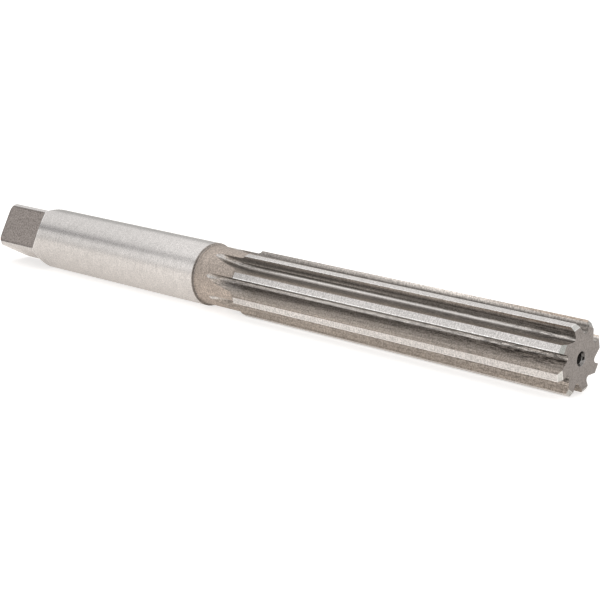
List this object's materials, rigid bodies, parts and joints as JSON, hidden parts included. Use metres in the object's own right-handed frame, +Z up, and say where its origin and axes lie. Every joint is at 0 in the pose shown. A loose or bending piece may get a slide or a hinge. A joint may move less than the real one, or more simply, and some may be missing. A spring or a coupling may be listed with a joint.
{
  "type": "hand reamer",
  "caption": "Straight-flute hand reamer with a long fluted cutting end, a relieved neck, a ground round shank and a driving square.",
  "frame": {"origin": "centre of the driving square's end face, on the tool's axis", "axes": "+X along the tool's axis towards its cutting end, +Z up as it lies on a bench, with the mouth of a flute underneath"},
  "size_m": [0.2489, 0.0216, 0.0216],
  "materials": {
    "high_speed_steel": "bright ground shank and lands, darker milled flutes, dull unground neck and square"
  },
  "bodies": {
    "root": {"reamer": "high_speed_steel"}
  },
  "joints": []
}
